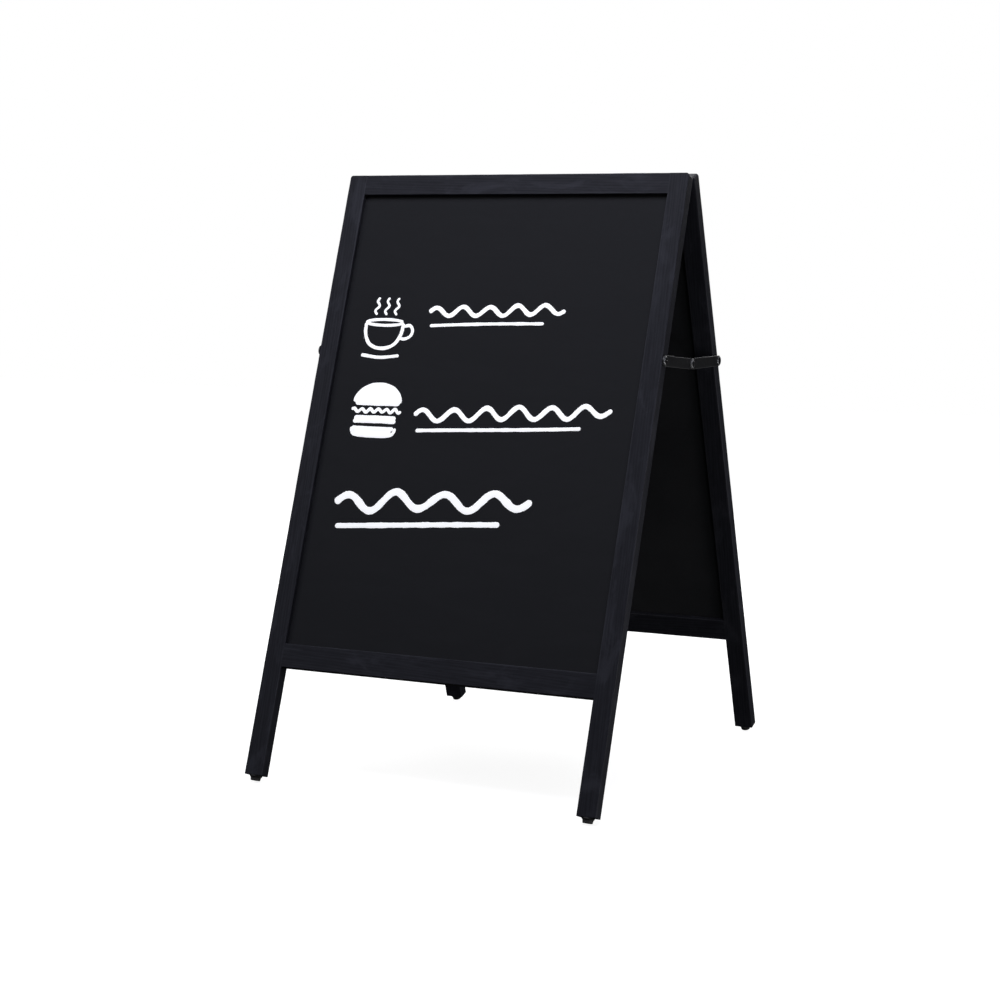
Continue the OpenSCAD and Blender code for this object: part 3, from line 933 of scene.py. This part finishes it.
def screw_mesh(name, head, shank_r, shank_l, recess_r, recess_d):
    """A turned screw with a cross recess.

    head is its (radius, height) profile, from the head's underside to the axis."""
    under = head[0][1]
    thread = []
    turns = max(3, int(shank_l * THREAD_RUN / THREAD_PITCH))
    for i in range(turns):
        base = under - shank_l * THREAD_FROM + i * THREAD_PITCH
        thread += [(shank_r * THREAD_ROOT, base), (shank_r, base + THREAD_PITCH * 0.5)]
    profile = [(0, under - shank_l), *thread, (shank_r * NECK, under), *head]
    bm = bmesh.new()
    add_lathe(bm, profile, segments=40)
    mesh = finish_mesh(name, bm, TURNED_CREASE)
    top = max(height for _, height in head)
    made = cut(mesh, recess_cutter(recess_r, top + 0.3 * MM, top - recess_d))
    made.name = name
    made.set_sharp_from_angle(angle=math.radians(TURNED_CREASE))
    # The head's rim carries the edge mark: rubbing, and on the glossy stay screws a painted highlight.
    head_r = max(radius for radius, _ in head)
    rub_and_highlight = made.attributes.get("edge") or made.attributes.new("edge", "FLOAT", "POINT")
    for item, vert in zip(rub_and_highlight.data, made.vertices):
        on_head = vert.co.z > under - 0.1 * MM
        from_axis = math.hypot(vert.co.x, vert.co.y)
        item.value = 1.0 if on_head and from_axis > head_r * RIM_HIGHLIGHT_FROM else 0.0
    return made


def dome(radius, base, height, rim, steps=5):
    """Profile of a low domed head, from its underside out and over to the axis."""
    points = [(radius * 0.45, base), (radius - rim * 0.3, base)]
    points += [(radius, base + rim * 0.5), (radius, base + rim)]
    for i in range(1, steps + 1):
        angle = math.radians(90 * i / steps)
        points.append((radius * math.cos(angle), base + rim + (height - rim) * math.sin(angle)))
    points[-1] = (0.0, base + height)
    return points


def sunk_head(radius, shank_r):
    """Profile of a countersunk screw head whose top is at 0."""
    points = [(shank_r, shank_r - radius), (radius, -0.15 * MM), (radius, 0.0)]
    return points + [(radius * 0.6, 0.02 * MM), (0, 0.03 * MM)]


def pointing(direction, spot, spin=0.0):
    """A frame at spot whose Z points along direction."""
    turn = Vector(direction).to_track_quat("Z", "Y").to_matrix().to_4x4()
    return Matrix.Translation(spot) @ turn @ Matrix.Rotation(spin, 4, "Z")


def islands(node, matrix):
    """Boxes of a CAD node's separate solids, in the frame that matrix places."""
    back = matrix.inverted()
    bm = bmesh.new()
    bm.from_mesh(frame["nodes"][node].data)
    bmesh.ops.remove_doubles(bm, verts=bm.verts, dist=WELD)
    left, found = set(bm.verts), []
    while left:
        queue, seen = [left.pop()], []
        while queue:
            vert = queue.pop()
            seen.append(back @ vert.co)
            for edge in vert.link_edges:
                other = edge.other_vert(vert)
                if other in left:
                    left.discard(other)
                    queue.append(other)
        found.append(box_of(seen))
    bm.free()
    return sorted(found, key=lambda box: box[0].x)


def screw_set(board, kind, outward, head, shank_r, recess_r, recess_d, material):
    """Fits a turned screw to a node's solids, and joins a copy for each of them in one piece.

    outward gives the way that a screw's head faces, from the screw's middle.
    head gives the head's profile, from its radius."""
    node = f"{board}_{kind}_screws"
    solids = islands(node, BOARDS[board])
    places = []
    for low, high in solids:
        middle = (low + high) / 2
        out = outward(middle)
        spot = [high[i] if out[i] > 0 else low[i] if out[i] < 0 else middle[i] for i in range(3)]
        places.append(pointing(out, Vector(spot), spins.uniform(0, 3)))
    axis = 0 if out[0] else 2
    low, high = solids[0]
    profile = head((high[(axis + 1) % 3] - low[(axis + 1) % 3]) / 2)
    shank_l = high[axis] - low[axis] + profile[0][1]
    screw = screw_mesh(f"{kind}_screw", profile, shank_r, shank_l, recess_r, recess_d)
    bm = bmesh.new()
    for place in places:
        moved = screw.copy()
        moved.transform(place)
        bm.from_mesh(moved)
        bpy.data.meshes.remove(moved)
    name = f"{board}_{kind}_screw_set"
    joined = to_mesh(name, bm)
    joined.set_sharp_from_angle(angle=math.radians(TURNED_CREASE))
    place_piece(name, joined, BOARDS[board], BODIES[board], material, [node])


for board in BOARDS:
    screw_set(board, "foot", lambda middle: (0, 0, -1),
              lambda radius: dome(radius, base=-2.4 * MM, height=2.4 * MM, rim=0.9 * MM),
              shank_r=2 * MM, recess_r=2.1 * MM, recess_d=1.2 * MM, material=ZINC)
    screw_set(board, "hinge", lambda middle: (0, 0, 1),
              lambda radius: sunk_head(radius, HINGE_SHANK_R),
              shank_r=HINGE_SHANK_R, recess_r=1.7 * MM, recess_d=1 * MM, material=ZINC)
    screw_set(board, "stay", lambda middle: (1 if middle.x > 0 else -1, 0, 0),
              lambda radius: dome(radius, base=-2.2 * MM, height=2.2 * MM, rim=0.8 * MM),
              shank_r=2.5 * MM, recess_r=3 * MM, recess_d=1.3 * MM, material=GLOSSY_STEEL)

# ---- stays

LINK_R = 9.5 * MM  # half of a link's width, and the radius of its ends
LINK_ARRIS = 0.35 * MM
PIVOT_HOLE_R = 2.55 * MM
RIVET_SHANK_R = 2.5 * MM
RIVET_RIM = 0.7 * MM
TAIL_T = 0.8 * MM  # thickness of the flat end of the rivet's tail
TAIL_CHAMFER = (0.5 * MM, 0.3 * MM)


def stay_link(side, which):
    """One flat link of a stay, between its pivot on a stile and the middle rivet."""
    node = f"{side}_stay_{which}_link"
    low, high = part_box(node)
    pivot = Vector(JOINTS[f"{side}_{which}_stay_pivot"]["pos_m"])
    rivet_low, rivet_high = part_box(f"{side}_stay_rivet_head")
    rivet = (rivet_low + rivet_high) / 2
    run = Vector((0, rivet.y - pivot.y, rivet.z - pivot.z))
    length = run.length

    def outline(inset):
        radius = LINK_R - inset
        return arc((0, 0), radius, 90, 270, 20) + arc((length, 0), radius, -90, 90, 20)

    def hole(x):
        return lambda inset: list(reversed(arc((x, 0), PIVOT_HOLE_R + inset, 0, 345, 23)))

    x_axis = run.normalized()
    z_axis = Vector((1, 0, 0))
    y_axis = z_axis.cross(x_axis)
    spot = Vector((low.x, pivot.y, pivot.z))
    matrix = Matrix.Translation(spot) @ Matrix((x_axis, y_axis, z_axis)).transposed().to_4x4()
    bm = bmesh.new()
    add_plate(bm, outline, [hole(0.0), hole(length)], high.x - low.x, LINK_ARRIS, Matrix.Identity(4))
    layer = bm.verts.layers.float.new("edge")
    for vert in bm.verts:
        along = min(max(vert.co.x, 0), length)
        from_spine = math.hypot(vert.co.x - along, vert.co.y)
        vert[layer] = 1.0 if from_spine > LINK_R - LINK_ARRIS * 1.05 else 0.0
    mesh = finish_mesh(node + "_bar", bm, 50)
    body = f"{side}_{which}_link"
    keep_flats_flat(place_piece(node + "_bar", mesh, matrix, body, STEEL, [node]))


def stay_rivet(side):
    """The middle rivet: its domed head rides with the rear link, its tail with the front link."""
    outward = 1 if side == "right" else -1
    link_low, link_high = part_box(f"{side}_stay_rear_link")
    link_t = link_high.x - link_low.x
    for half, link in (("head", "rear"), ("tail", "front")):
        node = f"{side}_stay_rivet_{half}"
        low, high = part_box(node)
        middle = (low + high) / 2
        radius = (high.y - low.y) / 2
        reach = high.x - low.x
        inner = low.x if outward > 0 else high.x
        if half == "head":
            profile = [(0, 0), (RIVET_SHANK_R, 0)]
            profile += dome(radius, link_t, reach - link_t, RIVET_RIM, 7)
        else:
            profile = [(0, 0), (radius - TAIL_CHAMFER[0], 0), (radius, TAIL_CHAMFER[1])]
            profile += [(radius, TAIL_T), (RIVET_SHANK_R, TAIL_T), (RIVET_SHANK_R, reach), (0, reach)]
        bm = bmesh.new()
        layer = bm.verts.layers.float.new("edge")
        # Round each half's rim the edge mark paints it lighter: rubbing, and a painted highlight.
        for ring, (from_axis, _) in zip(add_lathe(bm, profile, segments=44), profile):
            for vert in ring:
                vert[layer] = 1.0 if from_axis > radius * 0.7 else 0.0
        mesh = finish_mesh(node + "_turned", bm, TURNED_CREASE)
        matrix = pointing((outward, 0, 0), Vector((inner, middle.y, middle.z)))
        body = f"{side}_{link}_link"
        place_piece(node + "_turned", mesh, matrix, body, GLOSSY_STEEL, [node])


for side in ("left", "right"):
    for which in ("front", "rear"):
        stay_link(side, which)
    stay_rivet(side)

for board, rings in (("front", "washers"), ("rear", "spacers")):
    dress(f"{board}_stay_{rings}", STEEL)

# ---- hinges

for side in ("left", "right"):
    for board in BOARDS:
        dress(f"{board}_hinge_leaf_{side}", ZINC)
    dress(f"hinge_pin_{side}", ZINC)

# ---- stage, lights and camera

FLOOR_HALF = 9.0
FLOOR_GLOW = 0.88  # the floor's own light beside the object, where its shadow shows
GLOW_FROM = 0.8  # it rises to white between these distances
GLOW_TO = 3.0
AMBIENT = 0.02  # light from all round
COOL_WHITE = (0.95, 0.97, 1.09)


def stage_floor():
    """A plain white studio floor."""
    bm = bmesh.new()
    bmesh.ops.create_grid(bm, x_segments=24, y_segments=24, size=FLOOR_HALF)
    mesh = to_mesh("studio_floor", bm)
    p = Paint("studio_floor")
    cloud = p.noise(p.coords, 1.5, 2.0)
    color = p.mix(cloud, (0.32, 0.32, 0.32), (0.34, 0.34, 0.34))
    away = p.node("ShaderNodeVectorMath", [("operation", "LENGTH")], Vector=p.coords).outputs["Value"]
    glow = p.remap(away, GLOW_FROM, GLOW_TO, FLOOR_GLOW, 1.0)
    p.put(p.shader.inputs["Emission Color"], (1.0, 1.0, 1.0, 1.0))
    p.put(p.shader.inputs["Emission Strength"], glow)
    p.finish(color, 0.9, p.bump(cloud, 0.05, 0.2 * MM), specular=0.1)
    mesh.materials.append(p.material)
    obj = add_object("studio_floor", mesh)
    obj.visible_diffuse = False
    obj.visible_glossy = False
    obj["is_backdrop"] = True


def studio_world():
    """White behind the object, and a dimmer even light from all round."""
    world = bpy.data.worlds.new("studio")
    scene.world = world
    world.use_nodes = True
    tree = world.node_tree
    back = tree.nodes["Background"]
    back.inputs["Color"].default_value = (1.0, 1.0, 1.0, 1.0)
    path = tree.nodes.new("ShaderNodeLightPath")
    level = tree.nodes.new("ShaderNodeMapRange")
    tree.links.new(path.outputs["Is Camera Ray"], level.inputs["Value"])
    level.inputs["To Min"].default_value = AMBIENT
    level.inputs["To Max"].default_value = 1.0
    tree.links.new(level.outputs["Result"], back.inputs["Strength"])


def softbox(name, spot, aim, size, power, color=(1.0, 1.0, 1.0)):
    """A rectangular studio light at spot, turned towards aim. power is in watts."""
    light = bpy.data.lights.new(name, "AREA")
    light.color = color
    light.shape = "RECTANGLE"
    light.size, light.size_y = size
    light.energy = power
    obj = add_object(name, light)
    obj.location = spot
    obj.rotation_mode = "QUATERNION"
    obj.rotation_quaternion = (Vector(aim) - Vector(spot)).to_track_quat("-Z", "Y")


stage_floor()
studio_world()
softbox("top_box", (0.15, -1.1, 2.9), (0.05, -0.1, 0.6), (2.6, 1.2), 71, COOL_WHITE)
softbox("key_left", (-3.2, -2.6, 2.8), (0, -0.1, 0.6), (1.6, 1.6), 38)
softbox("fill_right", (1.5, 0.1, 0.2), (0.3, 0.1, 0.35), (0.9, 0.35), 9.5)
softbox("fill_low", (2.5, -2.3, 0.7), (0.2, 0.2, 0.45), (1.0, 1.0), 10)
softbox("fill_left", (-3.0, 0.5, 1.0), (0, 0.1, 0.5), (1.6, 1.6), 25)
softbox("fill_back", (-0.5, 3.0, 2.3), (0, 0.2, 0.6), (3.2, 2.2), 105)

CAMERA_SPOT = (1.633, -3.546, 0.921)
CAMERA_YAW = math.radians(25.17)
CAMERA_PITCH = math.radians(6.53)
CAMERA_ROLL = math.radians(0.46)
CAMERA_LENS = 77.4
CAMERA_SENSOR = 36


def studio_camera():
    """Looks at the object from its right front, a little above the level of its middle."""
    level = math.cos(CAMERA_PITCH)
    forward = Vector((-math.sin(CAMERA_YAW) * level, math.cos(CAMERA_YAW) * level, -math.sin(CAMERA_PITCH)))
    right = Vector((math.cos(CAMERA_YAW), math.sin(CAMERA_YAW), 0))
    up = right.cross(forward)
    x_axis = right * math.cos(CAMERA_ROLL) + up * math.sin(CAMERA_ROLL)
    y_axis = up * math.cos(CAMERA_ROLL) - right * math.sin(CAMERA_ROLL)
    data = bpy.data.cameras.new("camera")
    data.lens = CAMERA_LENS
    data.sensor_width = CAMERA_SENSOR
    obj = add_object("camera", data)
    axes = Matrix((x_axis, y_axis, -forward)).transposed().to_4x4()
    obj.matrix_world = Matrix.Translation(CAMERA_SPOT) @ axes
    scene.camera = obj


studio_camera()
scene.view_settings.view_transform = "Standard"

low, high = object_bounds()
{"cad": [list(cad_low), list(cad_high)], "visual": [list(low), list(high)]}
